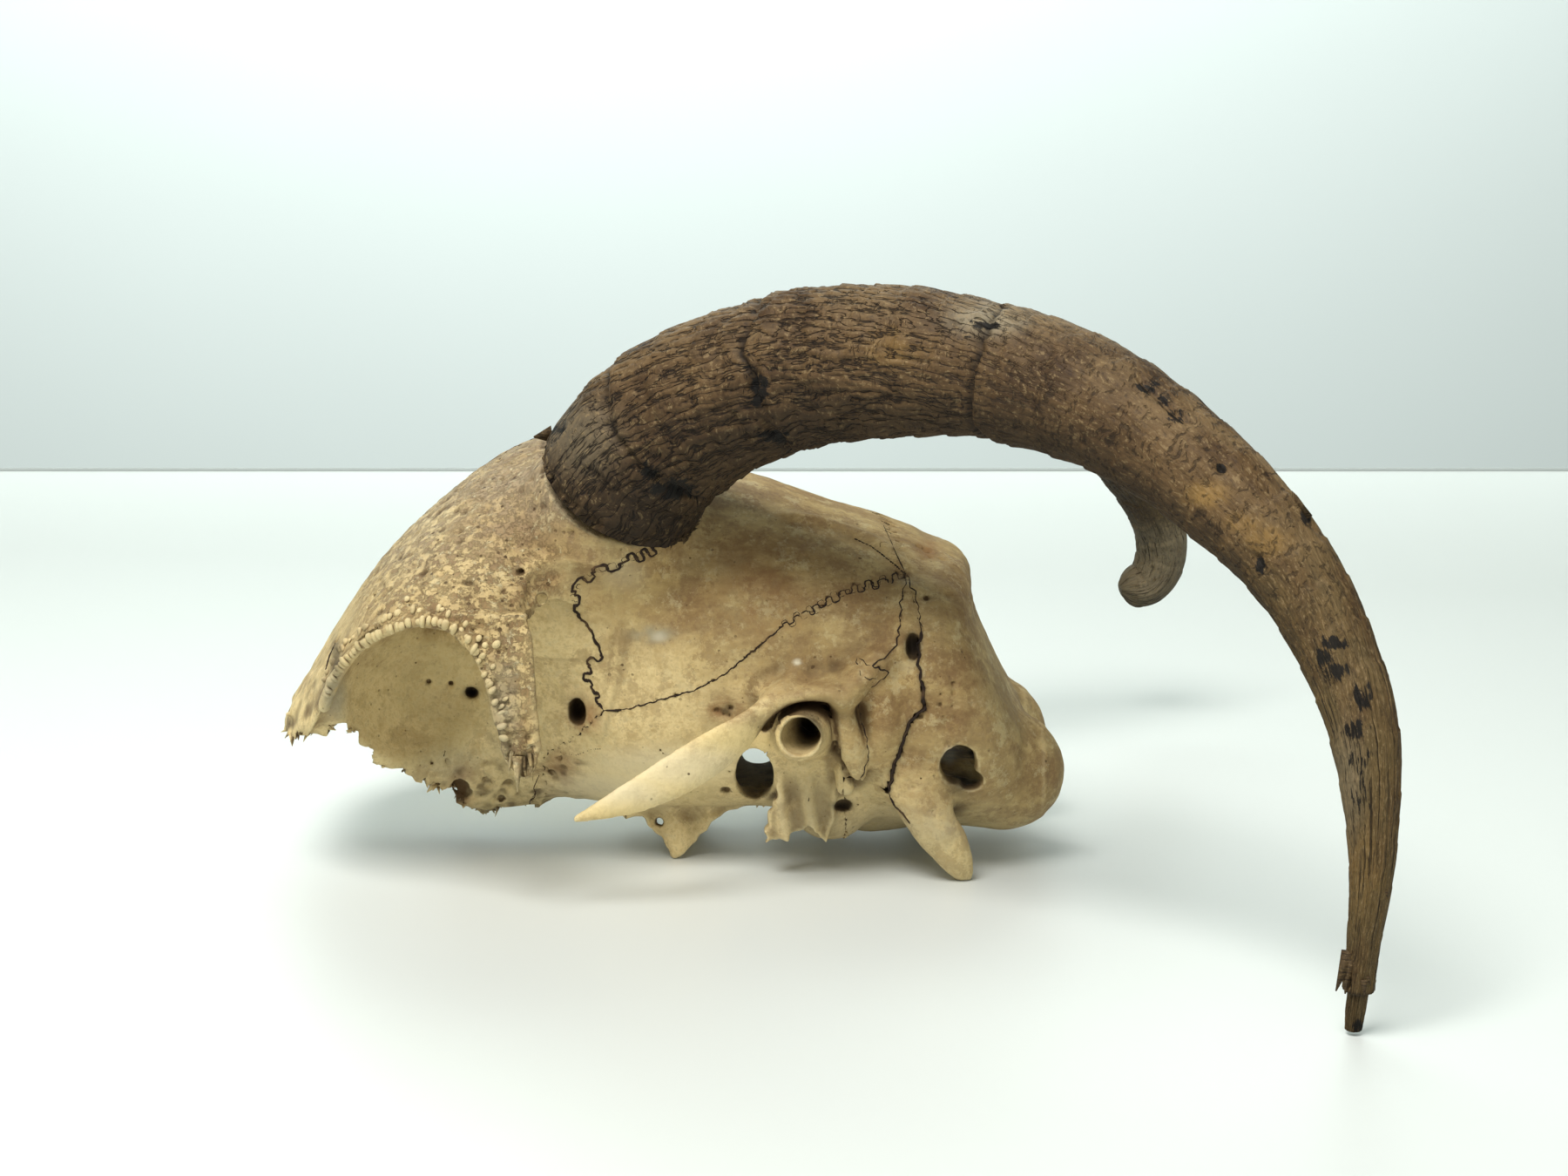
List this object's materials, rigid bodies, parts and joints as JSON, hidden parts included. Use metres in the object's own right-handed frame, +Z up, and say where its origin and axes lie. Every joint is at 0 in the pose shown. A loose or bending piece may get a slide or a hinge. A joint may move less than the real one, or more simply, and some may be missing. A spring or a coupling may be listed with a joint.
{
  "type": "goat cranium with horns",
  "caption": "Weathered goat cranium with curved horn sheaths, its face broken away in front of the eye sockets, lying as it was found on its underside and a horn tip.",
  "frame": {"origin": "middle of the foot plan of the whole object, on the table it lies on", "axes": "+Z up, -X towards the broken nose end, +X towards the nape, -Y towards the animal's left side, which the picture shows"},
  "size_m": [0.1826, 0.2258, 0.1065],
  "materials": {
    "bone": "dry weathered bone, matte, finely porous, with brown and grey stains",
    "pale_bone": "dry weathered bone from the sheltered underside, matte and paler",
    "horn_sheath": "dry keratin, dark brown, ringed, cracked and flaking, tan towards the tip"
  },
  "bodies": {
    "root": {"frontal_left": "bone", "frontal_right": "bone", "parietal": "bone", "occipital": "bone", "sphenoid": "pale_bone", "temporal_left": "bone", "temporal_right": "bone", "mastoid_left": "bone", "mastoid_right": "bone", "tympanic_left": "pale_bone", "tympanic_right": "pale_bone", "pterygoid_left": "pale_bone", "pterygoid_right": "pale_bone", "horn_left": "horn_sheath", "horn_right": "horn_sheath"}
  },
  "joints": []
}
